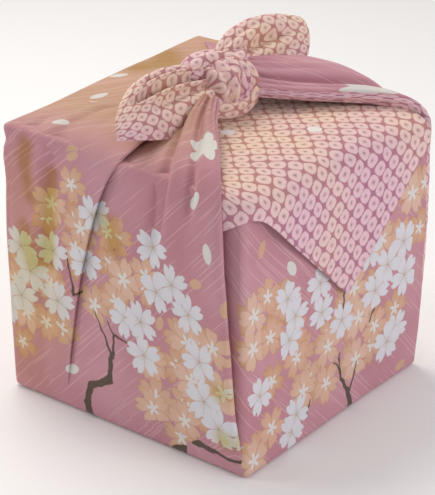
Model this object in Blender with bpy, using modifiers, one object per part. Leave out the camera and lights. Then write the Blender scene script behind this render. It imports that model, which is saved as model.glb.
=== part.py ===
# Furoshiki wrap: one square of cloth folded over a box and tied on top with a reef knot.
# Frame: metres, +Z up, base on z = 0. X runs to the right along the front face, Y towards the back.
# The front and back corners of the cloth are gathered up and tied over the middle of the top.
# The left corner lies over the top. The right corner is folded back there and hangs down the right wall.
import math

import bmesh
import bpy
from mathutils import Vector

MM = 0.001

# Driving sizes, in mm
SIDE = 200.0            # width and depth over the walls
HEIGHT = 190.0          # height of the walls
CLOTH = 1.7             # thickness of the cloth as built
EDGE_R = 4.0            # radius where the cloth turns over an edge of the box
KNOT = (0.0, 4.0, 216.0)   # middle of the knot
ROPE_R = 10.0           # radius of one gathered strand in the knot

HALF = SIDE / 2

for old in list(bpy.data.objects):
    bpy.data.objects.remove(old, do_unlink=True)

scene = bpy.context.scene
part = bpy.data.collections.new("furoshiki_wrap")
helpers = bpy.data.collections.new("helpers")
scene.collection.children.link(part)
scene.collection.children.link(helpers)


def cloth_material():
    mat = bpy.data.materials.new("printed_cotton")
    mat.use_nodes = True
    shader = mat.node_tree.nodes["Principled BSDF"]
    shader.inputs["Base Color"].default_value = (0.60, 0.32, 0.40, 1.0)
    shader.inputs["Roughness"].default_value = 0.85
    mat.diffuse_color = (0.60, 0.32, 0.40, 1.0)
    return mat


COTTON = cloth_material()


def new_object(name, mesh, collection):
    obj = bpy.data.objects.new(name, mesh)
    collection.objects.link(obj)
    return obj


def drop_pockets(bm):
    """Keeps the one outer shell: a closed pocket between two layers is filled."""
    left = set(bm.faces)
    shells = []
    while left:
        seed = left.pop()
        shell, front = {seed}, [seed]
        while front:
            for e in front.pop().edges:
                for f in e.link_faces:
                    if f in left:
                        left.discard(f)
                        shell.add(f)
                        front.append(f)
        shells.append(shell)
    shells.sort(key=len)
    for shell in shells[:-1]:
        bmesh.ops.delete(bm, geom=list(shell), context="FACES")


def baked(obj, turn_out=True):
    """The object with its modifiers applied and welded, a new solid with its faces turned out."""
    graph = bpy.context.evaluated_depsgraph_get()
    mesh = bpy.data.meshes.new_from_object(obj.evaluated_get(graph), depsgraph=graph)
    bm = bmesh.new()
    bm.from_mesh(mesh)
    bmesh.ops.remove_doubles(bm, verts=bm.verts, dist=0.000001)
    if turn_out:
        bmesh.ops.recalc_face_normals(bm, faces=bm.faces)
    else:
        drop_pockets(bm)
    bm.to_mesh(mesh)
    bm.free()
    out = new_object(obj.name + "_solid", mesh, helpers)
    bpy.data.objects.remove(obj, do_unlink=True)
    return out


def thick(obj, levels):
    """Rounds the cage and gives it the thickness of the cloth, inwards from its outer face."""
    if levels:
        sub = obj.modifiers.new("round", "SUBSURF")
        sub.levels = sub.render_levels = levels
    sol = obj.modifiers.new("thickness", "SOLIDIFY")
    sol.thickness = CLOTH * MM
    sol.offset = -1.0
    sol.use_even_offset = levels == 0
    return obj


def fold_sheet(name, rows, levels=1, flip=False, sharp=()):
    """A sheet of cloth from a table: one row of points for each fold, one column for each station."""
    across, along = len(rows), len(rows[0])
    bm = bmesh.new()
    crease = bm.verts.layers.float.new("crease_vert")
    bmesh.ops.create_grid(bm, x_segments=along - 1, y_segments=across - 1, size=1.0)
    for v in bm.verts:
        col = round((v.co.x + 1.0) / 2.0 * (along - 1))
        row = round((v.co.y + 1.0) / 2.0 * (across - 1))
        v.co = Vector(rows[row][col]) * MM
        if (row, col) in sharp:
            v[crease] = 1.0
    if flip:
        bmesh.ops.reverse_faces(bm, faces=bm.faces)
    mesh = bpy.data.meshes.new(name)
    bm.to_mesh(mesh)
    bm.free()
    return thick(new_object(name, mesh, helpers), levels)


# The skin: base, four walls and top in one rounded shell.
# The left corner of the cloth rises over the top from the left edge to the knot and the back corner.
# A slit under the hanging layer is left where the two corners of the cloth meet on the top.
CUTS_X = (-80, -56, -28, 0, 20, 26, 60, 82)
CUTS_Y = (-80, -50, -20, 10, 40, 70)
CUTS_Z = (20, 60, 100, 140, 172)


def ease(a, b, v):
    t = min(1.0, max(0.0, (v - a) / (b - a)))
    return t * t * (3 - 2 * t)


def top_rise(x, y):
    """How far the top of the skin stands above the height of the walls, in mm."""
    back = 3.5 + 10.5 * (y + HALF) / SIDE
    left = 1.0 - ease(-70.0, 10.0, x)
    near_knot = 6.0 * math.exp(-((x + 40) / 40) ** 2 - (y / 45) ** 2)
    return back * left + near_knot


def skin():
    bm = bmesh.new()
    bmesh.ops.create_cube(bm, size=1.0)
    for v in bm.verts:
        v.co = Vector((v.co.x * SIDE, v.co.y * SIDE, (v.co.z + 0.5) * HEIGHT)) * MM
    bmesh.ops.bevel(bm, geom=list(bm.edges), offset=EDGE_R * MM, segments=3, profile=0.5, affect="EDGES")
    for axis, cuts in enumerate((CUTS_X, CUTS_Y, CUTS_Z)):
        for at in cuts:
            co, no = Vector((0, 0, 0)), Vector((0, 0, 0))
            co[axis], no[axis] = at * MM, 1.0
            bmesh.ops.bisect_plane(bm, geom=list(bm.verts) + list(bm.edges) + list(bm.faces),
                                   plane_co=co, plane_no=no)
    slit = [f for f in bm.faces if f.normal.z > 0.9 and abs(f.calc_center_median().x / MM - 23) < 1
            and -75 < f.calc_center_median().y / MM < 65]
    bmesh.ops.delete(bm, geom=slit, context="FACES")
    for v in bm.verts:
        x, y, z = v.co / MM
        v.co.z += top_rise(x, y) * ease(120, HEIGHT - 6, z) * MM
        soft = 4.0 * ease(82, HALF, x) * ease(172, HEIGHT, z)      # under the hanging corner
        hollow = 3.0 * math.exp(-((y + 70) / 24) ** 2 - ((z - 146) / 30) ** 2) * ease(90, HALF, x)
        v.co -= Vector((soft + hollow, 0, soft)) * MM
    mesh = bpy.data.meshes.new("skin")
    bm.to_mesh(mesh)
    bm.free()
    return thick(new_object("skin", mesh, helpers), 0)


# The right corner: up to its fold under the knot, back over the top and down the right wall.
# One row for each line that runs from the fold to the hem: place along the rim, height of the hem.
# Places below -100 have turned the front corner and lie on the front face.
FLAP_ROWS = (
    ("rolled end", -121, 166, -97), ("corner", -110, 172, -92), ("near corner", -95, 178, -86),
    ("shoulder", -80, 170, -74), ("slope 1", -60, 151, -56), ("slope 2", -36, 129, -34),
    ("slope 3", -14, 109, -13), ("tip", 6, 90, 6), ("slope 4", 26, 109, 24), ("slope 5", 50, 131, 46),
    ("slope 6", 72, 152, 67), ("back end", 93, 171, 88),
)
FLAP_TIP = 7            # row that ends at the point of the triangle
FLAP_LIFT = 3.2         # outer face of the hanging layer above the skin
FOLD_X = -4.0           # where the layer turns back under the knot


def flap_rows():
    rows = []
    out = HALF + FLAP_LIFT
    top = HEIGHT + FLAP_LIFT
    for _, place, hem, y_in in FLAP_ROWS:
        wrapped = max(0.0, -HALF - place)
        x, y = (out - wrapped, -out) if wrapped else (out, place)
        x_top, y_top = (x - 8, -HALF + 1) if wrapped else (HALF - 7, place)
        drop = HEIGHT - 8 - hem
        rows.append([
            (FOLD_X - 5, y_in, HEIGHT - 0.8),
            (FOLD_X + 2, y_in, top - 0.6),
            (FOLD_X + 20, y_in, top),
            (x_top - 34, y_in * 0.4 + y_top * 0.6, top),
            (x_top, y_top, top),
            (x, y, HEIGHT - 8),
            (x, y, HEIGHT - 8 - drop * 0.34),
            (x, y, HEIGHT - 8 - drop * 0.67),
            (x, y, hem),
        ])
    return rows


# Stations of the gathered front and back cloth: height on the face, then distance from the middle
# of the top once the cloth has turned over the rim.
FACE_Z = (7.0, 60.0, 125.0, 178.0)
TOP_Y = (97.0, 72.0, 45.0, 22.0)

# One row for each fold, left to right.
# Columns: (x, out) at FACE_Z = foot, low, mid, rim; then (x, z) at TOP_Y = brow, top, neck, root.
FRONT_FOLDS = (
    ("tuck", (-60, -1), (-52, -1), (-42, -1), (-26, 0), (-12, 191), (-10, 192), (-8, 198), (-9, 208)),
    ("hollow", (-34, 1), (-26, 1), (-14, 1.2), (2, 1.4), (12, 194), (8, 195), (1, 200), (-5, 209)),
    ("rise", (0, 1.5), (8, 2), (14, 2.4), (26, 2.5), (30, 197.5), (17, 198), (5, 204), (0, 211)),
    ("left crest", (28, 2), (34, 2.5), (38, 3.6), (45, 6), (43, 203), (25, 206), (11, 212), (5, 217)),
    ("trough", (56, 2), (56, 2.8), (57, 4), (59, 4.6), (56, 200.5), (38, 203), (19, 210), (9, 216)),
    ("right crest", (82, 3.6), (79, 5.4), (76, 8), (73, 9), (69, 204.5), (49, 207), (28, 212), (13, 217)),
    ("pleat edge", (97, 4.5), (93, 7), (90, 9.5), (86, 10), (80, 204), (58, 205.5), (34, 210), (17, 215)),
    ("edge under", (98, -2.2), (94, 1.2), (90.5, 4), (86.5, 4.4), (80, 198), (58, 199.6), (34, 204), (18, 209)),
    ("turned in", (91, -4.2), (86, -1.4), (82, 1.6), (80, 0.8), (75, 194), (53, 196.6), (29, 202), (14, 207.5)),
)
BACK_FOLDS = (
    ("left corner", (-97, -1), (-97, -1), (-97, 0), (-97, 1.5), (-93, 210), (-66, 206), (-38, 209), (-12, 219)),
    ("left valley", (-66, 1), (-60, 1), (-52, 1.5), (-46, 2), (-50, 208), (-36, 205), (-22, 211), (-8, 223)),
    ("left crown", (-30, 1.5), (-24, 1.6), (-14, 2.5), (-10, 3), (-10, 210), (-8, 216), (-6, 222), (-4, 229)),
    ("crown", (5, 2), (8, 2), (14, 3), (20, 3.5), (22, 213.5), (18, 222), (8, 225), (1, 231)),
    ("right crown", (36, 2), (38, 2), (44, 3), (52, 3.6), (54, 212.5), (42, 219), (21, 221), (5, 226)),
    ("crease", (64, 1.5), (66, 2), (72, 2), (78, 2), (78, 203.5), (50, 206.5), (28, 210), (8, 217)),
    ("roll", (82, 2), (84, 2.5), (87, 3.5), (91, 5), (88, 205), (58, 208), (36, 210), (12, 216)),
    ("lip", (96, 3), (97, 4), (98, 4.5), (99, 5.6), (97, 202), (62, 203.6), (42, 205), (16, 210)),
    ("lip under", (97, -2.8), (98, -2.0), (99, -1.4), (99, 0), (96, 196), (62, 197.4), (41, 200), (16, 205)),
    ("turned in", (91, -4.8), (93, -3.6), (94.5, -2.8), (95.5, -3.2), (91.5, 191.6), (55, 195), (32, 198.6), (12, 203.6)),
)
# How far in and how high the foot of each inner layer ends; the outer layer turns under the base.
INNER_LAYER = {"edge under": (9.0, 7.5), "lip under": (9.0, 7.5), "turned in": (11.0, 10.5)}
# The side fold at the front left: the last column is where it sinks into the top.
SIDE_FOLDS = (
    ("corner", (-99, 0.5), (-99.5, 1), (-100, 1.6), (-103, 3.4), (-102, 193), (-96, 193), (-92, 193), (-88, 193)),
    ("valley 1", (-84, 0.6), (-84, 0.6), (-81, 0.8), (-76, 0.6), (-73, 193), (-71, 194), (-70, 194.6), (-70, 194)),
    ("ridge 1", (-77, 1.4), (-76, 1.8), (-71, 3), (-66, 4.4), (-63, 197.5), (-61, 196.8), (-60, 196.4), (-60, 195)),
    ("valley 2", (-71, 1), (-68, 1), (-61, 1), (-55, 1), (-53, 194), (-51, 195), (-51, 196), (-52, 195)),
    ("ridge 2", (-66, 1.4), (-60, 2), (-51, 3), (-42, 4.6), (-38, 198), (-38, 198), (-40, 198), (-42, 196)),
    ("field", (-58, 1), (-52, 2), (-41, 3.2), (-24, 4.6), (-16, 198), (-18, 199.5), (-24, 201), (-32, 198)),
    ("overlap edge", (-52, 0.4), (-44, 2), (-29, 3.8), (-9, 5), (5, 198), (2, 200), (-8, 203), (-24, 199)),
)


def gathered(table, side):
    """Points of a gathered cloth on the front (side = -1) or back (side = 1)."""
    rows = []
    for fold in table:
        tucked = INNER_LAYER.get(fold[0], (7.0, 0.9))
        face = [(fold[1][0], side * (HALF - tucked[0]), tucked[1])]
        face += [(x, side * (HALF + out), z) for (x, out), z in zip(fold[1:5], FACE_Z)]
        over = [(x, side * y, z) for (x, z), y in zip(fold[5:9], TOP_Y)]
        rows.append(face + over)
    return rows


def side_rows():
    """The left side fold, with one more row that sinks into the left wall."""
    rows = gathered(SIDE_FOLDS, -1)
    for row in rows:                        # over the top it lies on the raised skin, then sinks in
        row[5:] = [(x, y, z + top_rise(x, y) * share) for (x, y, z), share in zip(row[5:], (1, 1, 0.8, -0.2))]
    wall = [(-HALF + 1.8, -82.0, 1.2)] + [(-HALF + 1.2, -82.0, z) for z in FACE_Z]
    wall += [(-98.6, -80.0, 187.5), (-98.0, -66.0, 189.5), (-97.0, -45.0, 190.5), (-95.0, -22.0, 191.0)]
    return [wall] + rows


# The two free ends: rows are folds from the back hem over the top edge to the lower hem.
# Columns are points at the root, three stations along and the end.
LEFT_END = (
    ("back hem", (-14, -4, 218), (-17, -34, 214), (-17, -56, 214), (-15, -76, 214), (-12, -92, 214)),
    ("back", (-15, -4, 224), (-20, -36, 226), (-20, -58, 226), (-18, -74, 224), (-14, -90, 221)),
    ("top edge", (-8, -4, 230), (-13, -38, 238), (-13, -60, 237.5), (-11, -76, 234), (-9, -86, 229)),
    ("upper fold", (-2, -6, 229), (-4, -38, 235), (-3, -60, 235), (-3, -80, 232), (-3, -95, 227)),
    ("crease 1", (-4, -8, 225), (-9, -38, 229), (-7, -60, 230), (-3, -82, 228), (0, -100, 224)),
    ("ridge", (3, -10, 223), (3, -38, 227), (3, -60, 227), (3, -84, 225), (3, -105, 221)),
    ("crease 2", (1, -10, 219), (-5, -40, 221), (-3, -61, 222), (3, -86, 221), (5, -108, 218)),
    ("front panel", (9, -12, 216), (8, -42, 214), (10, -64, 213), (10, -88, 214), (9, -110, 214)),
    ("lower hem", (10, -14, 208), (13, -46, 198), (14, -66, 198.5), (12, -90, 205), (9, -111, 210)),
)
RIGHT_END = (
    ("back hem", (-15, 5, 223), (-20, 31, 221), (-20, 53, 221), (-17, 73, 221), (-13, 89, 221)),
    ("back", (-18, 3, 234), (-23, 31, 237), (-22, 53, 238), (-19, 75, 236), (-14, 94, 232)),
    ("top edge", (-12, -1, 240), (-15, 25, 248), (-14, 50, 250), (-11, 77, 247), (-8, 97, 239)),
    ("upper fold", (-4, 3, 239), (-5, 28, 242), (-6, 52, 243.5), (-4, 78, 241), (-3, 100, 234)),
    ("crease", (-2, 8, 231), (0, 30, 233), (-5, 50, 234), (3, 77, 234), (1, 99, 228)),
    ("panel", (5, 12, 224), (7, 34, 224), (8, 54, 224.5), (9, 77, 224), (5, 95, 221)),
    ("lower hem", (6, 16, 214), (9, 37, 213), (11, 56, 213.5), (11, 76, 213.5), (8, 89, 215)),
)


def end_rows(table):
    return [list(fold[1:]) for fold in table]


# The knot: two gathered strands, each one loop about the other.
# Points of the middle line from the middle of the knot, with the radius there as a share of ROPE_R.
FRONT_LOOP = (
    (4, -30, -8, 0.5), (8, -18, -12, 0.7), (10, -5, -15, 0.7), (10, 9, -15, 0.7), (9, 19, -9, 0.75),
    (5, 20, 1, 0.8), (-3, 12, 9, 0.85), (-9, -1, 11, 0.9), (-12, -14, 11, 0.95), (-10, -32, 9, 0.6),
)
BACK_LOOP = (
    (-5, 30, -4, 0.75), (-9, 17, -6, 0.85), (-9, 3, -8, 0.85), (-1, -5, -10, 0.8), (8, -6, -6, 0.85),
    (9, -5, 2, 0.9), (5, -3, 9, 0.9), (-1, 4, 13, 0.9), (-6, 16, 14, 0.9), (-5, 30, 13, 0.8),
)
LOBES = 4               # folds seen around one gathered strand
LOBE_DEPTH = 0.13
BAND_FOLDS = 3           # folds on each half of the band round the knot


def strand(name, points):
    """One gathered strand of the knot: a lobed section carried along its middle line."""
    steps = 12
    ring = bpy.data.curves.new(name + "_section", "CURVE")
    ring.dimensions = "2D"
    line = ring.splines.new("POLY")
    line.points.add(steps - 1)
    for i, p in enumerate(line.points):
        turn = 2 * math.pi * i / steps
        r = ROPE_R * (1.0 + LOBE_DEPTH * math.cos(LOBES * turn)) * MM
        p.co = (r * math.cos(turn), r * math.sin(turn), 0, 1)
    line.use_cyclic_u = True
    section = new_object(name + "_section", ring, helpers)
    path = bpy.data.curves.new(name, "CURVE")
    path.dimensions = "3D"
    path.resolution_u = 3
    path.bevel_mode = "OBJECT"
    path.bevel_object = section
    path.use_fill_caps = True
    path.twist_mode = "MINIMUM"
    s = path.splines.new("BEZIER")
    s.bezier_points.add(len(points) - 1)
    for bp, (x, y, z, r) in zip(s.bezier_points, points):
        bp.co = Vector((KNOT[0] + x, KNOT[1] + y, KNOT[2] + z)) * MM
        bp.handle_left_type = bp.handle_right_type = "AUTO"
        bp.radius = r
    obj = new_object(name, path, helpers)
    bpy.context.view_layer.update()
    out = baked(obj)
    bpy.data.objects.remove(section, do_unlink=True)
    return out


def knot_core():
    """The band round the middle of the knot: a rounded barrel along Y, with folds that run round it."""
    bm = bmesh.new()
    bmesh.ops.create_uvsphere(bm, u_segments=20, v_segments=14, radius=1.0)
    for v in bm.verts:
        x, z, y = v.co                      # the pole of the sphere lies along Y
        fold = 1.0 + 0.07 * math.cos(BAND_FOLDS * math.pi * y)
        v.co = Vector((KNOT[0] + 1.5 + x * 13.5 * fold, KNOT[1] - 1 + y * 18, KNOT[2] + 1 + z * 17 * fold)) * MM
    bmesh.ops.recalc_face_normals(bm, faces=bm.faces)
    mesh = bpy.data.meshes.new("knot_core")
    bm.to_mesh(mesh)
    bm.free()
    return baked(new_object("knot_core", mesh, helpers))


def united(solids):
    """One closed body of all the solids."""
    body = solids[0]
    for other in solids[1:]:
        cut = body.modifiers.new("join", "BOOLEAN")
        cut.operation = "UNION"
        cut.solver = "EXACT"
        cut.object = other
        body = baked(body, turn_out=False)
        bpy.data.objects.remove(other, do_unlink=True)
    return body


wrap = united([baked(s) for s in (
    skin(),
    fold_sheet("flap", flap_rows(), sharp=((FLAP_TIP, 8),)),
    fold_sheet("front_cloth", gathered(FRONT_FOLDS, -1), flip=True),
    fold_sheet("side_fold", side_rows(), flip=True),
    fold_sheet("back_cloth", gathered(BACK_FOLDS, 1)),
)])
tie = united([
    strand("front_loop", FRONT_LOOP),
    strand("back_loop", BACK_LOOP),
    knot_core(),
    baked(fold_sheet("left_end", end_rows(LEFT_END))),
    baked(fold_sheet("right_end", end_rows(RIGHT_END), flip=True)),
])
cloth = united([wrap, tie])
cloth.name = "furoshiki_cloth"
cloth.data.name = "furoshiki_cloth"
helpers.objects.unlink(cloth)
part.objects.link(cloth)
cloth.data.materials.clear()
cloth.data.materials.append(COTTON)

low = Vector([min(v.co[i] for v in cloth.data.vertices) for i in range(3)])
high = Vector([max(v.co[i] for v in cloth.data.vertices) for i in range(3)])
shift = Vector((-(low.x + high.x) / 2, -(low.y + high.y) / 2, -low.z))
for v in cloth.data.vertices:
    v.co += shift
for poly in cloth.data.polygons:
    poly.use_smooth = True

helpers.hide_render = True
for obj in helpers.objects:
    obj.hide_render = True
    obj.display_type = "WIRE"
print("size in mm:", [round(k / MM, 1) for k in high - low], "moved by:", [round(k / MM, 2) for k in shift])
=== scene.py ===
# %% [markdown]
# # A wrapped box in a printed cotton cloth
# One square of cloth is folded round a box and tied on top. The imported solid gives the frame, and this
# file dresses it: each stretch of cloth that shows is a thin sheet on the folds of that solid, and two
# node materials carry the print of its two sides. Sizes are in millimetres until they become mesh points.

# %% Load the frame
import math

import bmesh
import bpy
import numpy as np
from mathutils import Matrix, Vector, noise


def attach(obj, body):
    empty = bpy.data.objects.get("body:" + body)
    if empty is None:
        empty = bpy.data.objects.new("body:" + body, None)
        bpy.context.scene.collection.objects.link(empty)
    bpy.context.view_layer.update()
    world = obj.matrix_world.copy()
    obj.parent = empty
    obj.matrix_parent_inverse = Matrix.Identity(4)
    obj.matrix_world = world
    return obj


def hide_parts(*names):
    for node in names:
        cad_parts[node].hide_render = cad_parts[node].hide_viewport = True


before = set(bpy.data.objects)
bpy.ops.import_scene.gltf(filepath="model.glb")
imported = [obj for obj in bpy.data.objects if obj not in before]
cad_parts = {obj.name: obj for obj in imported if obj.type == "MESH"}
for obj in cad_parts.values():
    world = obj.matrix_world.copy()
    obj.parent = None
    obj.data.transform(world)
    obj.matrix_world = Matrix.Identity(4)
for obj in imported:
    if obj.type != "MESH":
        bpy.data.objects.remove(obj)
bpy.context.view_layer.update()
MM = 0.001
BACK_SHIFT = 250.0      # how far the back's stretch of cloth lies from the front's, in mm of cloth
ENDS_SHIFT = 200.0      # the same for the free ends and the knot
SIDE, HEIGHT = 200.0, 190.0
HALF = SIDE / 2
SHIFT = Vector((-1.6, 2.86, 0.0))     # the solid was centred on its box: tables keep the middle of the base
NODE = "furoshiki_cloth"
print("frame loaded:", sorted(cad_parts))

# %% [markdown]
# ## Camera, light and floor
# The camera stands a little over a metre away with a long lens, so the box keeps nearly parallel edges.
# A warm soft key from behind on the left lights the top, a fill from the front left brings out the
# upright folds, and a second fill lights the wall with the hanging corner.

# %% Camera
AZIMUTH, ELEVATION = math.radians(38.68), math.radians(24.0)
DISTANCE, FOCAL_PX = 1.2291, 1794.5
back = Vector((math.sin(AZIMUTH) * math.cos(ELEVATION), -math.cos(AZIMUTH) * math.cos(ELEVATION),
               math.sin(ELEVATION)))
right = (-back).cross(Vector((0, 0, 1))).normalized()
up = right.cross(-back)
eye = SHIFT * MM + Vector((0, 0, HEIGHT / 2 * MM)) + back * DISTANCE - right * 0.0011 + up * 0.0024
camera = bpy.data.objects.new("camera", bpy.data.cameras.new("camera"))
bpy.context.scene.collection.objects.link(camera)
camera.data.lens = FOCAL_PX / 495 * camera.data.sensor_width
camera.rotation_mode = "QUATERNION"
camera.location = eye
camera.rotation_quaternion = (-back).to_track_quat("-Z", "Y")
bpy.context.scene.camera = camera
print("camera at", [round(c, 3) for c in eye], "lens", round(camera.data.lens, 1), "mm")


# %% Lights and floor
def soft_light(name, place, size, watts, colour):
    """A square studio light that faces the object."""
    lamp = bpy.data.lights.new(name, "AREA")
    lamp.size, lamp.energy, lamp.color = size, watts, colour
    obj = bpy.data.objects.new(name, lamp)
    bpy.context.scene.collection.objects.link(obj)
    obj.location = place
    obj.rotation_mode = "QUATERNION"
    obj.rotation_quaternion = (Vector(place) - Vector((0, 0, 0.1))).to_track_quat("Z", "Y")
    return obj


soft_light("key", (-0.62, 0.22, 1.30), 0.7, 9.5, (1.0, 0.94, 0.87))
soft_light("front_fill", (-1.45, -0.95, 0.65), 0.6, 7.5, (1.0, 0.95, 0.94))
soft_light("right_fill", (1.5, 0.1, 0.75), 0.8, 7.5, (1.0, 0.95, 1.0))

bpy.context.scene.view_settings.view_transform = "Standard"
world = bpy.data.worlds.new("studio")
bpy.context.scene.world = world
world.use_nodes = True
world.node_tree.nodes["Background"].inputs["Color"].default_value = (1.0, 0.99, 0.985, 1.0)
world.node_tree.nodes["Background"].inputs["Strength"].default_value = 0.50

bm = bmesh.new()
bmesh.ops.create_grid(bm, x_segments=1, y_segments=1, size=6.0)
floor_mesh = bpy.data.meshes.new("floor")
bm.to_mesh(floor_mesh)
bm.free()
floor = bpy.data.objects.new("floor", floor_mesh)
bpy.context.scene.collection.objects.link(floor)
floor.location.z = -0.0005
floor_paint = bpy.data.materials.new("floor_paint")
floor_paint.use_nodes = True
floor_paint.node_tree.nodes["Principled BSDF"].inputs["Base Color"].default_value = (0.93, 0.93, 0.93, 1)
floor_paint.node_tree.nodes["Principled BSDF"].inputs["Roughness"].default_value = 0.9
floor_mesh.materials.append(floor_paint)
print("three soft lights and a floor")

# %% [markdown]
# ## Shader arithmetic
# A print is arithmetic on the place in the cloth, so a small class lets a socket be added to,
# multiplied and compared in plain Python. One method makes every other node.


# %% A number in a shader, and the recipe that it belongs to
class Term:
    """One number on its way through a material: arithmetic on it adds Math nodes."""

    def __init__(self, recipe, socket):
        self.recipe, self.socket = recipe, socket

    def _math(self, kind, *values):
        return self.recipe.node("ShaderNodeMath", {"operation": kind}, dict(enumerate(values)))

    def __add__(self, other): return self._math("ADD", self, other)
    def __radd__(self, other): return self._math("ADD", other, self)
    def __sub__(self, other): return self._math("SUBTRACT", self, other)
    def __rsub__(self, other): return self._math("SUBTRACT", other, self)
    def __mul__(self, other): return self._math("MULTIPLY", self, other)
    def __rmul__(self, other): return self._math("MULTIPLY", other, self)
    def __truediv__(self, other): return self._math("DIVIDE", self, other)
    def __gt__(self, other): return self._math("GREATER_THAN", self, other)
    def __lt__(self, other): return self._math("LESS_THAN", self, other)
    def __pow__(self, other): return self._math("POWER", self, other)
    def __abs__(self): return self._math("ABSOLUTE", self)
    def floor(self): return self._math("FLOOR", self)
    def exp(self): return self._math("EXPONENT", self)
    def max(self, other): return self._math("MAXIMUM", self, other)
    def min(self, other): return self._math("MINIMUM", self, other)
    def wrap(self, low, high): return self._math("WRAP", self, high, low)

    def ramp(self, low, high):
        """0 below low, 1 above high, straight between."""
        return self.recipe.node("ShaderNodeMapRange", {"clamp": True},
                                {"Value": self, "From Min": low, "From Max": high}, "Result")


class Recipe:
    """A material under construction."""

    def __init__(self, name):
        self.material = bpy.data.materials.new(name)
        self.material.use_nodes = True
        self.tree = self.material.node_tree
        self.shader = self.tree.nodes["Principled BSDF"]

    def feed(self, socket, value):
        if isinstance(value, Term):
            self.tree.links.new(value.socket, socket)
        elif isinstance(value, bpy.types.NodeSocket):
            self.tree.links.new(value, socket)
        elif isinstance(value, tuple) and socket.type == "RGBA" and len(value) == 3:
            socket.default_value = (*value, 1.0)
        else:
            socket.default_value = value

    def node(self, kind, settings=None, values=None, out=0):
        """A node with its settings made first, then its sockets; out names the socket it gives back."""
        made = self.tree.nodes.new(kind)
        for key, value in (settings or {}).items():
            setattr(made, key, value)
        for key, value in (values or {}).items():
            self.feed(made.inputs[key], value)
        return self.give(made, out)

    def give(self, made, out):
        socket = made.outputs[out]
        return Term(self, socket) if socket.type == "VALUE" else socket

    def vector(self, kind, *values, out="Vector"):
        return self.node("ShaderNodeVectorMath", {"operation": kind}, dict(enumerate(values)), out)

    def mix(self, amount, first, second, blend="MIX"):
        made = self.tree.nodes.new("ShaderNodeMix")
        made.data_type, made.blend_type = "RGBA", blend
        for name, value in (("Factor_Float", amount), ("A_Color", first), ("B_Color", second)):
            self.feed(next(s for s in made.inputs if s.identifier == name), value)
        return next(s for s in made.outputs if s.identifier == "Result_Color")

    def parts(self, vector):
        made = self.tree.nodes.new("ShaderNodeSeparateXYZ")
        self.feed(made.inputs[0], vector)
        return tuple(self.give(made, i) for i in range(3))

    def join(self, x, y, z=0.0):
        return self.node("ShaderNodeCombineXYZ", None, {0: x, 1: y, 2: z}, "Vector")


print("shader arithmetic is ready")

# %% [markdown]
# ## The inner print: a dapple of tied dots
# The cloth's inner side imitates tie-dyed silk: rows of rounded pale squares with a small grey dot,
# parallel to the edges of the cloth, on a deeper pink. Each cell is nudged a little, as a tied dot is.
# The cloth keeps its own flat coordinates in a UV map in metres, so the rows bend with the folds.


# %% The cloth's own place, and its fine weave
def cloth_place(r):
    uv = r.node("ShaderNodeUVMap", {"uv_map": "cloth"}, None, "UV")
    u, v, _ = r.parts(uv)
    return uv, u, v


def weave_bump(r, u, v, height):
    """Fine crepe ribs and slubs as a bump."""
    ribs = r.node("ShaderNodeTexNoise", {"noise_dimensions": "2D"},
                  {"Vector": r.join((u + v) * 1500.0, (v - u) * 260.0), "Scale": 1.0, "Detail": 2.0}, "Fac")
    soft = r.node("ShaderNodeTexNoise", {"noise_dimensions": "2D"},
                  {"Vector": r.join(u * 90.0, v * 90.0), "Scale": 1.0, "Detail": 2.0}, "Fac")
    return r.node("ShaderNodeBump", None,
                  {"Strength": 0.45, "Distance": height, "Height": ribs * 0.6 + soft * 0.8}, "Normal")


# %% The dapple
PLAIN_DOTS = ((-21, 24), (19, 64))      # two plain dots on the hanging corner, in mm of cloth
DAPPLE = 0.0106         # distance between dots, in metres


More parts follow.
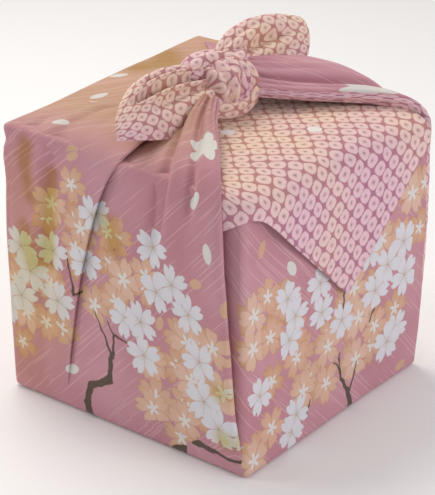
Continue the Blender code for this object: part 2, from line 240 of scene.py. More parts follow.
def dapple_cloth():
    r = Recipe("dapple_cotton")
    uv, u, v = cloth_place(r)
    wobble = r.node("ShaderNodeTexNoise", {"noise_dimensions": "2D"},
                    {"Vector": uv, "Scale": 45.0, "Detail": 1.0}, "Fac") - 0.5
    a = (u + v) * (0.7071 / DAPPLE) + wobble * 0.45
    b = (v - u) * (0.7071 / DAPPLE) - wobble * 0.40
    row, col = b.floor(), a.floor()
    chance = r.node("ShaderNodeTexWhiteNoise", {"noise_dimensions": "2D"}, {"Vector": r.join(col, row)},
                    "Value")
    x = a - col - 0.5 + (chance - 0.5) * 0.08
    y = b - row - 0.5 + ((chance * 7.0).wrap(0.0, 1.0) - 0.5) * 0.08
    reach = (abs(x) ** 2.7 + abs(y) ** 2.7) ** (1 / 2.7)
    grain = r.node("ShaderNodeTexNoise", {"noise_dimensions": "2D"},
                   {"Vector": uv, "Scale": 700.0, "Detail": 2.0}, "Fac") - 0.5
    rim = reach + grain * 0.10 + (chance - 0.5) * 0.03
    ring = rim.ramp(0.495, 0.420)
    hollow = rim.ramp(0.21, 0.13)
    dot = rim.ramp(0.090, 0.045)
    drift = r.node("ShaderNodeTexNoise", {"noise_dimensions": "2D"},
                   {"Vector": uv, "Scale": 17.0, "Detail": 2.0}, "Fac").ramp(0.36, 0.66)
    # Painted warm light: where v is low the cloth lies on the top, and its tan there stands in for warm light
    # from above. The noise drift adds a random tone that the cloth has.
    warm = (1.0 - v.ramp(0.070, 0.125)) * 0.70 + drift * 0.45 - 0.08
    ground = r.mix(warm, (0.420, 0.165, 0.260), (0.500, 0.240, 0.185))
    pale = r.mix(warm, (0.770, 0.530, 0.590), (0.840, 0.640, 0.500))
    colour = r.mix(ring * 0.93, ground, pale)
    colour = r.mix(hollow * 0.38, colour, ground)
    colour = r.mix(dot * 0.75, colour, (0.27, 0.18, 0.23))
    for place in PLAIN_DOTS:
        far = r.vector("DISTANCE", uv, tuple(c * MM for c in place) + (0.0,), out="Value")
        colour = r.mix((far + grain * 0.0006).ramp(0.0052, 0.0046), colour, (0.80, 0.76, 0.73))
    r.feed(r.shader.inputs["Base Color"], colour)
    r.shader.inputs["Roughness"].default_value = 0.82
    r.shader.inputs["Sheen Weight"].default_value = 0.08
    r.shader.inputs["Sheen Roughness"].default_value = 0.5
    r.feed(r.shader.inputs["Normal"], weave_bump(r, u, v, 0.00035))
    return r.material


dapple_cotton = dapple_cloth()
print("dapple with", len(dapple_cotton.node_tree.nodes), "nodes")

# %% [markdown]
# ## The outer print: cherry blossom on a slubbed ground
# The flower is drawn with polar arithmetic: five petals, each a cosine lobe with a notch at its tip. A
# Voronoi cell gives every flower its centre and turn, and soft clusters say where flowers may open.
# Boughs are tapered strokes. Cluster and bough tables are in millimetres of cloth, for one wall each. Two more
# cluster tables lay patches of painted warm light over the print.

# %% Where the print has its clusters and boughs
# Columns: middle u, middle v, reach.
FRONT_CLUSTERS = ((-84, 98, 17), (-62, 112, 13), (-40, 124, 14), (-16, 148, 15), (18, 148, 12), (34, 122, 17),
                  (58, 104, 15), (10, 82, 15), (22, 54, 15), (60, 70, 15), (78, 48, 14), (-58, 80, 13),
                  (50, 234, 14),
                  (-94, 66, 13), (80, 34, 11))
RIGHT_CLUSTERS = ((362, 106, 17), (382, 92, 15), (354, 72, 14), (404, 68, 14), (440, 98, 17), (474, 104, 15),
                  (470, 78, 15), (432, 70, 12), (366, 34, 16), (336, 16, 15), (388, 10, 12), (462, 30, 14),
                  (490, 60, 13), (316, 52, 14))
WARM_CLUSTERS = ((-84, 60, 20), (-56, 56, 20), (-72, 84, 22), (-10, 128, 22), (-22, 104, 20), (-50, 146, 20),
                 (38, 58, 22), (52, 28, 20), (24, 28, 18), (62, 92, 16), (2, 112, 18), (86, 66, 16),
                 (310, 108, 20), (328, 84, 20), (342, 92, 18), (392, 54, 20), (416, 40, 20), (446, 126, 20),
                 (480, 130, 22), (450, 60, 20), (424, 84, 18), (356, 50, 18), (316, 20, 16), (436, 46, 16))
# Columns: u, v, half length, half width, turn in degrees, 1 if it is warm.
PETALS = ((-77, 263, 6.5, 3.6, 60, 0), (-64, 213, 6.5, 3.6, 20, 0), (-91, 299, 6.5, 3.6, 40, 0),
          (63, 182, 6.8, 4.0, 62, 0), (77, 152, 6.8, 3.8, 100, 0), (-40, 187, 5.5, 3.2, 30, 1),
          (90, 118, 6.0, 3.4, 80, 1), (66, 128, 5.6, 3.4, 20, 1), (322, 150, 6.0, 3.6, 70, 1),
          (440, 160, 6.0, 3.4, 30, 0), (-46, 30, 6.0, 3.6, 20, 0), (350, 128, 6.0, 3.6, 120, 0),
          (300, 20, 6.0, 3.6, 40, 0), (478, 8, 6.0, 3.6, 10, 1), (34, 90, 5.5, 3.2, 70, 1),
          (64, 52, 5.5, 3.2, 10, 0))
for u, v in ((61, 226), (-329, 224)):       # two whole flowers on the strands
    PETALS += tuple((u + 8 * math.cos(math.radians(a)), v + 8 * math.sin(math.radians(a)), 8.0, 5.2, a, 0)
                    for a in (20, 92, 164, 236, 308))
# Painted warm light over the print: a tan wash down the left of the front, and golden streaks on the left folds
# and the top left, where warm light from the back left falls. Columns: middle u, middle v, reach.
WARM_LIGHT_PATCHES = ((-84, 150, 26), (-82, 100, 30), (-74, 60, 28), (-90, 20, 24))
WARM_LIGHT_STREAKS = ((-80, 180, 7), (-80, 170, 7), (-78, 159, 6), (-76, 148, 6), (-57, 170, 6), (-58, 160, 7),
          (-59, 149, 7), (-60, 138, 7), (-61, 127, 7), (-62, 116, 7), (-63, 105, 7), (-80, 124, 7),
          (-78, 112, 8), (-76, 100, 7), (-10, 146, 10), (-4, 132, 9), (84, 58, 8), (86, 24, 8),
          (-78, 335, 14), (-90, 318, 11), (-92, 350, 12))
# Columns: from u, from v, to u, to v, half width at each end.
BOUGHS = ((-26, -8, -34, 10, 3.4, 3.2), (-34, 10, -28, 24, 3.2, 3.0), (-28, 24, -12, 34, 3.0, 2.8),
          (-12, 34, -8, 52, 2.6, 1.9), (-8, 52, -6, 68, 1.7, 1.1), (-6, 68, -12, 76, 1.0, 0.6),
          (-8, 52, -24, 80, 1.3, 0.6), (-6, 68, 10, 66, 0.9, 0.5), (-40, 88, -46, 118, 1.3, 0.6),
          (-40, 88, -35, 93, 1.0, 0.6), (44, 0, 66, 12, 3.4, 2.8), (66, 12, 96, 9, 2.6, 1.6),
          (418, -4, 413, 16, 2.6, 2.2), (413, 16, 402, 36, 2.0, 1.1), (402, 36, 404, 48, 1.0, 0.7),
          (402, 36, 396, 42, 0.9, 0.6), (415, 14, 424, 34, 1.2, 0.7), (410, 100, 407, 78, 1.1, 0.7),
          (436, 60, 442, 72, 0.9, 0.6), (501, 70, 499, 112, 2.0, 1.3), (366, 20, 370, 26, 0.9, 0.6))
print(len(FRONT_CLUSTERS) + len(RIGHT_CLUSTERS), "white clusters,", len(BOUGHS), "strokes of bough")


# %% Parts of the print
def cluster(r, place, table):
    """How deep a place lies in the clusters of a table: 0 outside, above 1 where they overlap."""
    total = None
    for u, v, reach in table:
        gap = r.vector("SUBTRACT", place, (u * MM, v * MM, 0.0))
        near = (r.vector("DOT_PRODUCT", gap, gap, out="Value") * (-1.0 / (reach * MM) ** 2)).exp()
        total = near if total is None else total + near
    return total


def blossoms(r, uv, pitch, slip, radius, table, fill):
    """One layer of five-petalled flowers: its mask and what is needed to tint a flower."""
    moved = r.vector("ADD", uv, (*slip, 0.0))
    cells = r.tree.nodes.new("ShaderNodeTexVoronoi")
    cells.voronoi_dimensions = "2D"
    r.feed(cells.inputs["Vector"], moved)
    r.feed(cells.inputs["Scale"], 1.0 / pitch)
    r.feed(cells.inputs["Randomness"], 0.55)
    centre = cells.outputs["Position"]
    chance, turn, _ = r.parts(cells.outputs["Color"])
    offset = r.vector("SUBTRACT", moved, centre)
    x, y, _ = r.parts(offset)
    out = r.vector("LENGTH", offset, out="Value")
    angle = r.node("ShaderNodeMath", {"operation": "ARCTAN2"}, {0: y, 1: x}) + turn * 6.283
    wedge = abs(angle.wrap(-math.pi / 5, math.pi / 5))       # 0 along a petal, 0.63 between two
    ragged = r.node("ShaderNodeTexNoise", {"noise_dimensions": "2D"},
                    {"Vector": uv, "Scale": 420.0, "Detail": 1.0}, "Fac") - 0.5
    side = (wedge - 0.13).max(0.0)
    edge = (wedge * 1.5 + 0.80).min(1.0 - side * side * 2.25) + ragged * 0.13
    size = radius * (0.90 + chance * 0.20)
    mask = (size * edge - out).ramp(-0.0002, 0.0003)
    home = r.vector("SUBTRACT", centre, (*slip, 0.0))
    open_here = cluster(r, home, table) > (1.0 - fill) + chance * 0.25
    return {"mask": mask * open_here, "out": out / size, "edge": edge, "wedge": wedge, "chance": chance,
            "rays": abs(angle.wrap(-math.pi / 10, math.pi / 10)) * out, "gap": (0.628 - wedge) * out}


def boughs(r, uv):
    bend = r.node("ShaderNodeTexNoise", {"noise_dimensions": "2D"},
                  {"Vector": uv, "Scale": 70.0, "Detail": 2.0}, "Color")
    lean = r.vector("SCALE", r.vector("SUBTRACT", bend, (0.5, 0.5, 0.5)))
    lean.node.inputs["Scale"].default_value = 0.007
    place = r.vector("MULTIPLY", r.vector("ADD", uv, lean), (1.0, 1.0, 0.0))
    total = None
    for u0, v0, u1, v1, w0, w1 in BOUGHS:
        run = Vector((u1 - u0, v1 - v0, 0.0)) * MM
        gap = r.vector("SUBTRACT", place, (u0 * MM, v0 * MM, 0.0))
        along = (r.vector("DOT_PRODUCT", gap, tuple(run), out="Value") / run.length_squared).max(0.0).min(1.0)
        nearest = r.join(along * run.x, along * run.y)
        far = r.vector("DISTANCE", gap, nearest, out="Value")
        stroke = ((along * ((w1 - w0) * MM) + w0 * MM) - far).ramp(-0.0003, 0.0004)
        total = stroke if total is None else total.max(stroke)
    return total


# %% Ground with its slubs
def slubbed_ground(r, uv, u, v, behind):
    """Pink ground with painted warm light as a tan over the top, and thin straight slubs along the weft."""
    wall = u > 0.25
    hand = 1.0 - wall * 2.0                             # the weft leans the other way on the side walls
    across, along = v - u * hand, v + u * hand
    tone = r.node("ShaderNodeTexNoise", {"noise_dimensions": "2D"},
                  {"Vector": uv, "Scale": 13.0, "Detail": 3.0}, "Fac").ramp(0.3, 0.7)
    ground = r.mix(tone, (0.485, 0.215, 0.258), (0.550, 0.280, 0.328))
    # Painted warm light: over the top, left of the middle, the ground turns tan where warm light from above
    # falls.
    over = v.ramp(0.185, 0.240) * (1.0 - wall) * (1.0 - behind) * u.ramp(0.075, 0.020)
    ground = r.mix(over * 0.92, ground, (0.520, 0.310, 0.190))
    strip = across / 0.0012
    thread = strip.floor()
    pick = r.node("ShaderNodeTexWhiteNoise", {"noise_dimensions": "1D"}, {"W": thread}, "Value")
    run = r.node("ShaderNodeTexNoise", {"noise_dimensions": "2D"},
                 {"Vector": r.join(along * 17.0, thread * 5.31), "Scale": 1.0, "Detail": 0.0}, "Fac")
    body = 1.0 - abs(strip - thread - 0.5) * 1.6
    slub = (pick > 0.70) * run.ramp(0.46, 0.64) * body
    dark = (pick < 0.25) * run.ramp(0.50, 0.70) * body
    ground = r.mix(slub * 0.50, ground, (0.78, 0.56, 0.54))
    return r.mix(dark * 0.30, ground, (0.42, 0.19, 0.22))


# %% Warm and white flowers
def warm_flowers(r, uv, colour):
    for pitch, slip, radius, fill, deep, light in (
            (0.026, (0.037, 0.022), 0.0150, 0.80, (0.56, 0.29, 0.16), (0.60, 0.36, 0.24)),
            (0.028, (0.011, 0.004), 0.0155, 0.78, (0.62, 0.35, 0.23), (0.67, 0.44, 0.34))):
        f = blossoms(r, uv, pitch, slip, radius, WARM_CLUSTERS, fill)
        tint = r.mix(f["chance"], deep, light)
        tint = r.mix(f["out"].ramp(0.9, 0.2) * 0.4, tint, (0.70, 0.52, 0.42))
        tint = r.mix((f["edge"] - f["out"]).ramp(0.09, 0.03) * 0.45, tint, (0.42, 0.19, 0.09))
        tint = r.mix(f["gap"].ramp(0.0006, 0.0002) * 0.5, tint, (0.48, 0.24, 0.12))
        star = (0.40 - f["wedge"] * 0.46 - f["out"]).ramp(0.0, 0.03)
        tint = r.mix(star * 0.95, tint, (0.70, 0.67, 0.66))
        colour = r.mix(f["mask"], colour, tint)
    return colour


def white_flowers(r, uv, colour):
    for pitch, slip, fill in ((0.029, (0.003, 0.017), 0.66), (0.031, (0.021, 0.009), 0.50)):
        f = blossoms(r, uv, pitch, slip, 0.0150, FRONT_CLUSTERS + RIGHT_CLUSTERS, fill)
        tint = r.mix(f["out"].ramp(0.50, 0.0) * 0.5, (0.665, 0.655, 0.700), (0.60, 0.55, 0.50))
        tint = r.mix(f["gap"].ramp(0.0007, 0.0002) * 0.40, tint, (0.42, 0.36, 0.38))
        tint = r.mix((f["edge"] - f["out"]).ramp(0.10, 0.0) * 0.28, tint, (0.46, 0.40, 0.44))
        rays = f["rays"].ramp(0.0004, 0.0001) * f["out"].ramp(0.32, 0.26)
        tint = r.mix(rays * 0.36, tint, (0.46, 0.32, 0.24))
        tint = r.mix(f["out"].ramp(0.10, 0.05) * 0.5, tint, (0.50, 0.34, 0.20))
        colour = r.mix(f["mask"], colour, tint)
    return colour


# %% Loose petals
def loose_petals(r, uv, colour):
    for u, v, long, wide, turn, warm in PETALS:
        offset = r.vector("SUBTRACT", uv, (u * MM, v * MM, 0.0))
        spun = r.node("ShaderNodeVectorRotate", {"rotation_type": "Z_AXIS"},
                      {"Vector": offset, "Angle": -math.radians(turn)}, "Vector")
        x, y, _ = r.parts(spun)
        petal = (abs(x / (long * MM)) ** 2.0 + abs(y / (wide * MM)) ** 1.7).ramp(1.05, 0.92)
        colour = r.mix(petal, colour, (0.60, 0.37, 0.25) if warm else (0.66, 0.64, 0.60))
    return colour


# %% The whole outer print
def blossom_cloth():
    r = Recipe("blossom_cotton")
    own, u, v = cloth_place(r)
    behind = u < -BACK_SHIFT * MM / 2                                 # the back wears the same print as the front
    u = u + behind * (BACK_SHIFT * MM)
    uv = r.join(u, v)
    colour = slubbed_ground(r, uv, u, v, behind)
    colour = loose_petals(r, own, colour)
    colour = warm_flowers(r, uv, colour)
    colour = r.mix(boughs(r, uv), colour, (0.095, 0.062, 0.045))
    colour = white_flowers(r, uv, colour)
    # Painted warm light: a tan wash and golden streaks multiplied over the print on the left folds and the top
    # left.
    painted_warm_wash = cluster(r, uv, WARM_LIGHT_PATCHES).ramp(0.10, 1.1)
    colour = r.mix(painted_warm_wash * 0.75, colour, (0.92, 0.84, 0.56), blend="MULTIPLY")
    painted_warm_streaks = cluster(r, uv, WARM_LIGHT_STREAKS).ramp(0.15, 1.0)
    colour = r.mix(painted_warm_streaks * 0.90, colour, (0.76, 0.70, 0.28), blend="MULTIPLY")
    r.feed(r.shader.inputs["Base Color"], colour)
    r.shader.inputs["Roughness"].default_value = 0.80
    r.shader.inputs["Sheen Weight"].default_value = 0.08
    r.shader.inputs["Sheen Roughness"].default_value = 0.5
    r.feed(r.shader.inputs["Normal"], weave_bump(r, u, v, 0.00035))
    return r.material


blossom_cotton = blossom_cloth()
print("blossom print with", len(blossom_cotton.node_tree.nodes), "nodes")

# %% [markdown]
# ## How a sheet is made
# Gathered cloth is read from a table with one row for each fold and one column for each station along
# it. A grid from bmesh is laid on the smooth surface through that table, then fine pleats and soft
# unevenness are added along the normals, and Solidify gives the cloth its thickness.


# %% Smooth surface through a table
def spline_weights(count, places):
    """Weights of a uniform cubic B-spline with phantom ends, one row for each place."""
    w = np.zeros((len(places), count + 2))
    for i, u in enumerate(places):
        k = min(int(u), count - 2)
        f = u - k
        w[i, k:k + 4] += np.array(((1 - f) ** 3, 3 * f ** 3 - 6 * f ** 2 + 4,
                                   -3 * f ** 3 + 3 * f ** 2 + 3 * f + 1, f ** 3)) / 6
    full = w[:, 1:-1].copy()
    full[:, 0] += 2 * w[:, 0]
    full[:, 1] -= w[:, 0]
    full[:, -1] += 2 * w[:, -1]
    full[:, -2] -= w[:, -1]
    return full


def laid_sheet(name, rows, flat, fine, materials, detail=None, flip=False, inner_rows=None, cloth=1.2):
    """A sheet on a table of points; flat gives each table point its place in the flat cloth, in mm."""
    rows, flat = np.array(rows, float), np.array(flat, float)
    across, along = rows.shape[:2]
    bm = bmesh.new()
    bmesh.ops.create_grid(bm, x_segments=fine[1], y_segments=fine[0], size=1.0)
    bm.verts.index_update()
    st = np.array([((v.co.y + 1) / 2 * (across - 1), (v.co.x + 1) / 2 * (along - 1)) for v in bm.verts])
    a, b = spline_weights(across, st[:, 0]), spline_weights(along, st[:, 1])
    place = np.einsum("ni,nj,ijk->nk", a, b, rows)
    plane = np.einsum("ni,nj,ijk->nk", a, b, flat)
    for v, p in zip(bm.verts, place):
        v.co = Vector(p) + slack(p)
    if flip:
        bmesh.ops.reverse_faces(bm, faces=bm.faces)
    bm.normal_update()
    if detail:
        moves = [detail(v.co, *st[v.index]) for v in bm.verts]
        for v, n, d in zip(bm.verts, [v.normal.copy() for v in bm.verts], moves):
            v.co += n * d
    uv = bm.loops.layers.uv.new("cloth")
    for face in bm.faces:
        s = sum(st[v.index][0] for v in face.verts) / len(face.verts)
        if inner_rows and s > inner_rows:
            face.material_index = 1
        for loop in face.loops:
            loop[uv].uv = plane[loop.vert.index] * MM
    for v in bm.verts:
        v.co = (v.co + SHIFT) * MM
    return finished(name, bm, materials, cloth)


def finished(name, bm, materials, cloth):
    """The object of a finished sheet, with its thickness inwards and its two printed sides."""
    mesh = bpy.data.meshes.new(name)
    for face in bm.faces:
        face.smooth = True
    bm.to_mesh(mesh)
    bm.free()
    obj = bpy.data.objects.new(name, mesh)
    bpy.context.scene.collection.objects.link(obj)
    for material in materials:
        mesh.materials.append(material)
    wall = obj.modifiers.new("thickness", "SOLIDIFY")
    wall.thickness = cloth * MM
    wall.offset = -1.0
    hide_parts(NODE)
    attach(obj, "root")
    print(name, len(mesh.polygons), "faces")
    return obj


def soft_noise(p, scale, seed):
    """Gentle unevenness from -1 to 1, the same every run."""
    return noise.noise(Vector((p.x / scale + seed, p.y / scale, p.z / scale)))


# %% [markdown]
# ## Walls, base and top
# The part of the cloth that lies on the box: one rounded shell whose top rises from the left edge to
# the back corner and the knot, as the tied corners lift it. Long shallow hollows keep it from looking
# like a box. Each side keeps its own stretch of the print.


# %% Shape of the walls
def ease(a, b, v):
    t = min(1.0, max(0.0, (v - a) / (b - a)))
    return t * t * (3 - 2 * t)


def top_rise(x, y):
    rise = 3.5 + 13.0 * (y + HALF) / SIDE
    left = 1.0 - ease(-70.0, 10.0, x)
    near_knot = 6.0 * math.exp(-((x + 40) / 40) ** 2 - (y / 45) ** 2)
    return rise * left + near_knot


def slack(p):
    """The cloth stands off the box a little at its upright edges and along its foot."""
    x, y, z = p
    swell = math.sin(math.pi * min(1, max(0, z / HEIGHT)))
    nip = math.exp(-((z - 174) / 15) ** 2)
    left = ease(-50, -HALF, x) * math.exp(-((y + HALF) / 70) ** 2)
    far = ease(50, HALF, x) * math.exp(-((y - HALF) / 60) ** 2)
    foot = math.exp(-(z / 28) ** 2)
    lip = math.exp(-((z - 188) / 20) ** 2)
    wide = ease(70, HALF, x) * ease(60, -HALF, y)
    fold = 2.6 * math.exp(-((z - 191) / 4.5) ** 2) - 1.8 * math.exp(-((z - 181) / 4.5) ** 2)
    return Vector((-(6.6 * swell + 3.4 * nip + 1.5 * foot + fold) * left + (5.0 * swell + 4.0 * lip) * far
                   + 3.4 * foot * wide,
                   (-1.6 * foot) * ease(-60, -HALF, y), 0.0))


def wall_point(p):
    """Where a point of the plain rounded box goes."""
    x, y, z = p
    q = Vector(p)
    q.z += top_rise(x, y) * ease(120, HEIGHT - 6, z)
    soft = 4.0 * ease(82, HALF, x) * ease(172, HEIGHT, z)
    hollow = 4.5 * math.exp(-((y + 70) / 24) ** 2 - ((z - 146) / 30) ** 2) * ease(90, HALF, x)
    q -= Vector((soft + hollow, 0, soft))
    ripple = 0.9 * soft_noise(q, 55, 3) + 0.45 * soft_noise(q, 22, 9)
    side = math.sin(math.pi * min(1, max(0, z / HEIGHT)))
    if abs(x) > HALF - 3:
        q.x += math.copysign(1, x) * (ripple - 0.4) * side
    if abs(y) > HALF - 3:
        q.y += math.copysign(1, y) * (ripple - 0.4) * side
    if z > HEIGHT - 3:
        q.z += 0.5 * soft_noise(q, 30, 5)
    return q + slack(q)


# %% Walls
def wrap_walls():
    bm = bmesh.new()
    bmesh.ops.create_cube(bm, size=1.0)
    for v in bm.verts:
        v.co = Vector((v.co.x * SIDE, v.co.y * SIDE, (v.co.z + 0.5) * HEIGHT))
    bmesh.ops.bevel(bm, geom=list(bm.edges), offset=4.0, segments=4, profile=0.5, affect="EDGES", material=-1)
    for axis, low, high in ((0, -HALF, HALF), (1, -HALF, HALF), (2, 0, HEIGHT)):
        steps = 30
        for i in range(1, steps):
            co, no = Vector((0, 0, 0)), Vector((0, 0, 0))
            co[axis], no[axis] = low + 4.5 + (high - low - 9) * (i - 1) / (steps - 2), 1.0
            bmesh.ops.bisect_plane(bm, geom=list(bm.verts) + list(bm.edges) + list(bm.faces), plane_co=co,
                                   plane_no=no)
    uv = bm.loops.layers.uv.new("cloth")
    for face in bm.faces:
        c = face.calc_center_median()
        n = face.normal
        for loop in face.loops:
            x, y, z = loop.vert.co
            if abs(n.z) > 0.72:
                place = (x, HEIGHT + 6 + y + HALF) if n.z > 0 else (x, -y - HALF)
            elif n.x > 0.6 or (n.y < -0.5 and c.x > 56):
                place = (400 + y - (HALF - x), z)
            elif n.x < -0.6:
                place = (400 - y - (x + HALF), z)
            elif n.y > 0:
                place = (-x - BACK_SHIFT, z)
            else:
                place = (x, z)
            loop[uv].uv = (place[0] * MM, place[1] * MM)
    for v in bm.verts:
        v.co = (wall_point(v.co) + SHIFT) * MM
    return finished("wrap_walls", bm, [blossom_cotton], 1.2)


walls = wrap_walls()

# %% [markdown]
# ## The hanging corner
# The right corner of the cloth turns back under the knot, comes out over the edge with its inner side
# up, and hangs down the right wall as a triangle. Its front end rolls round the corner of the box.

# %% Table of the hanging corner
# Columns: place along the rim, height of the hem, place along the fold under the knot.
FLAP_ROWS = (
    ("rolled end", -121, 166, -80), ("corner", -110, 172, -77), ("near corner", -95, 178, -74),
    ("shoulder", -80, 170, -68), ("slope 1", -60, 151, -56), ("slope 2", -36, 129, -34),
    ("slope 3", -14, 109, -13), ("near tip", 1, 95, 1), ("tip", 6, 90, 6), ("past tip", 11, 95, 11),
    ("slope 4", 26, 109, 24), ("slope 5", 50, 131, 46), ("slope 6", 72, 152, 67), ("back end", 93, 171, 88),
)
FLAP_LIFT, FOLD_X = 3.2, -4.0


def hanging_corner():
    rows, flat = [], []
    out, top = HALF + FLAP_LIFT, HEIGHT + FLAP_LIFT
    for _, place, hem, y_in in FLAP_ROWS:
        wrapped = max(0.0, -HALF - place)
        x, y = (out - wrapped, -out) if wrapped else (out, place)
        x_top, y_top = (x - 8, -HALF + 1) if wrapped else (HALF - 7, place)
        drop = HEIGHT - 8 - hem
        rows.append([(FOLD_X - 5, y_in, HEIGHT - 0.8), (FOLD_X + 2, y_in, top - 0.6),
                     (FOLD_X + 20, y_in, top),
                     (x_top - 34, y_in * 0.4 + y_top * 0.6, top), (x_top, y_top, top), (x, y, HEIGHT - 8)]
                    + [(x, y, HEIGHT - 8 - drop * k) for k in (0.34, 0.67, 1.0)])
        v = [FOLD_X - 5, FOLD_X + 3, FOLD_X + 20, 59, 93, 108] + [108 + drop * k for k in (0.34, 0.67, 1.0)]
        flat.append([(y_in * (1 - k) + place * k, t) for k, t in zip((0, 0, 0, .6, 1, 1, 1, 1, 1), v)])

    def detail(p, s, t):
        return 0.35 * soft_noise(p, 26, 1) + 0.15 * soft_noise(p, 9, 4)
    return laid_sheet("hanging_corner", rows, flat, (110, 90), [dapple_cotton, blossom_cotton], detail)


flap = hanging_corner()

# %% [markdown]
# ## Gathered front and back
# The front and back corners are pulled up over the rim to the knot. A table row is one fold: where it
# stands on the wall at four heights, then where it runs at four distances from the middle of the top.

# %% Tables of the gathered cloth
FACE_Z = (7.0, 60.0, 125.0, 178.0)
TOP_Y = (97.0, 72.0, 45.0, 22.0)
FRONT_FOLDS = (
    ("tuck", (-60, -1), (-52, -1), (-42, -1), (-26, 0), (-12, 191), (-10, 192), (-8, 198), (-9, 208)),
    ("hollow", (-34, 1), (-26, 1), (-14, 1.2), (2, 1.4), (12, 194), (8, 195), (1, 200), (-5, 209)),
    ("rise", (0, 1.5), (8, 2), (14, 2.4), (26, 2.5), (30, 197.5), (17, 198), (5, 204), (0, 211)),
    ("left crest", (28, 2), (34, 2.5), (38, 3.6), (45, 6), (43, 203), (25, 206), (11, 212), (5, 217)),
    ("trough", (56, 2), (56, 2.8), (57, 4), (59, 4.6), (56, 200.5), (38, 203), (19, 210), (9, 216)),
    ("right crest", (82, 3.6), (79, 5.4), (76, 8), (73, 9), (69, 204.5), (49, 207), (28, 212), (13, 217)),
    ("pleat edge", (97, 4.5), (93, 7), (90, 9.5), (86, 10), (80, 204), (58, 205.5), (34, 210), (17, 215)),
    ("edge under", (98, -2.2), (94, 1.2), (90.5, 4), (86.5, 4.4), (80, 198), (58, 199.6), (34, 204),
     (18, 209)),
    ("turned in", (91, -4.2), (86, -1.4), (82, 1.6), (80, 0.8), (75, 194), (53, 196.6), (29, 202),
     (14, 207.5)),
)
BACK_FOLDS = (
    ("left corner", (-97, -1), (-97, -1), (-97, 0), (-97, 1.5), (-93, 210), (-66, 206), (-38, 209),
     (-12, 219)),
    ("left valley", (-66, 1), (-60, 1), (-52, 1.5), (-46, 2), (-50, 208), (-36, 205), (-22, 211), (-8, 223)),
    ("left crown", (-30, 1.5), (-24, 1.6), (-14, 2.5), (-10, 3), (-10, 210), (-8, 216), (-6, 222), (-4, 229)),
    ("crown", (5, 2), (8, 2), (14, 3), (20, 3.5), (22, 213.5), (18, 222), (8, 225), (1, 231)),
    ("right crown", (36, 2), (38, 2), (44, 3), (52, 3.6), (54, 212.5), (42, 219), (21, 221), (5, 226)),
    ("crease", (64, 1.5), (66, 2), (72, 2), (78, 2), (78, 203.5), (50, 206.5), (28, 210), (8, 217)),
    ("roll", (82, 2), (84, 2.5), (87, 3.5), (91, 5), (88, 205), (58, 208), (36, 210), (12, 216)),
    ("lip", (96, 3), (97, 4), (98, 4.5), (99, 5.6), (97, 202), (62, 203.6), (42, 205), (16, 210)),
    ("lip under", (97, -2.8), (98, -2.0), (99, -1.4), (99, 0), (96, 196), (62, 197.4), (41, 200), (16, 205)),
    ("turned in", (91, -4.8), (93, -3.6), (94.5, -2.8), (95.5, -3.2), (91.5, 191.6), (55, 195), (32, 198.6),
     (12, 203.6)),
)
INNER_LAYER = {"edge under": (9.0, 7.5), "lip under": (9.0, 7.5), "turned in": (11.0, 10.5)}
SIDE_FOLDS = (
    ("corner", (-99, 0.5), (-99.5, 1), (-100, 1.6), (-103, 3.4), (-102, 193), (-96, 193), (-92, 193),
     (-88, 193)),
    ("valley 1", (-84, 0.6), (-84, 0.4), (-82, -0.4), (-78, -1.4), (-73, 193), (-71, 194), (-70, 194.6),
     (-70, 194)),
    ("ridge 1", (-77, 1.6), (-76, 2.4), (-72, 4.4), (-67, 5.8), (-63, 197.5), (-61, 196.8), (-60, 196.4),
     (-60, 195)),
    ("valley 2", (-71, 1), (-68, 0.6), (-62, -0.4), (-57, -1.2), (-53, 194), (-51, 195), (-51, 196),
     (-52, 195)),
    ("ridge 2", (-66, 1.6), (-60, 2.4), (-52, 4.2), (-44, 5.6), (-38, 198), (-38, 198), (-40, 198),
     (-42, 196)),
    ("field", (-58, 1), (-52, 2), (-41, 3.2), (-24, 4.6), (-16, 198), (-18, 199.5), (-24, 201), (-32, 198)),
    ("overlap edge", (-52, 0.4), (-44, 2), (-29, 3.8), (-9, 5), (5, 198), (2, 200), (-8, 203), (-24, 199)),
)
OVER_V = (203.0, 229.0, 257.0, 283.0)     # place in the flat cloth of the stations on the top


def gathered(table, side):
    """Points of a gathered cloth and their places in the flat cloth; side is -1 in front, 1 behind."""
    rows, flat = [], []
    edge_x = table[-3][4][0]
    for fold in table:
        tucked = INNER_LAYER.get(fold[0], (7.0, 0.9))
        points = [(fold[1][0], side * (HALF - tucked[0]), tucked[1])]
        points += [(x, side * (HALF + out), z) for (x, out), z in zip(fold[1:5], FACE_Z)]
        points += [(x, side * y, z) for (x, z), y in zip(fold[5:9], TOP_Y)]
        rim = fold[4][0]
        us = [fold[1][0]] + [x for x, _ in fold[1:5]] + [rim * k + x * (1 - k) for (x, _), k in
                                                         zip(fold[5:9], (0.3, 0.5, 0.6, 0.65))]
        if fold[0] in INNER_LAYER:
            us = [2 * edge_x - u + 8 for u in us]
        shift = BACK_SHIFT if side > 0 else 0
        flat.append([(-side * u - shift, v) for u, v in zip(us, (-6.0,) + FACE_Z + OVER_V)])
        rows.append(points)
    return rows, flat


print(len(FRONT_FOLDS), "front folds,", len(SIDE_FOLDS), "side folds,", len(BACK_FOLDS), "back folds")


# %% Front and back cloth
def pucker(phase):
    """A pleat: round on its ridge and sharp in its valley, about 0."""
    return abs(math.sin(phase / 2)) - 0.64


def gather_detail(count, seed, reach=3.9, deep=1.5, grooves=()):
    """Fine pleats that run along the folds and deepen towards the knot.

    A groove is (row, depth, from, to, half width)."""
    def detail(p, s, t):
        cut = sum(depth * math.exp(-((s - row) / width) ** 2)
                  * ease(start, start + 0.7, t) * (1 - ease(end - 0.7, end, t))
                  for row, depth, start, end, width in grooves)
        pull = ease(reach, 8.0, t)
        sway = 1.6 * soft_noise(p, 45, seed)
        size = 0.75 + 0.5 * soft_noise(p, 30, seed + 5)
        return (deep * pull * size * pucker(s * count + sway) - cut
                + 0.55 * soft_noise(p, 28, seed) * (1 - 0.5 * pull) + 0.15 * soft_noise(p, 8, seed + 2))
    return detail


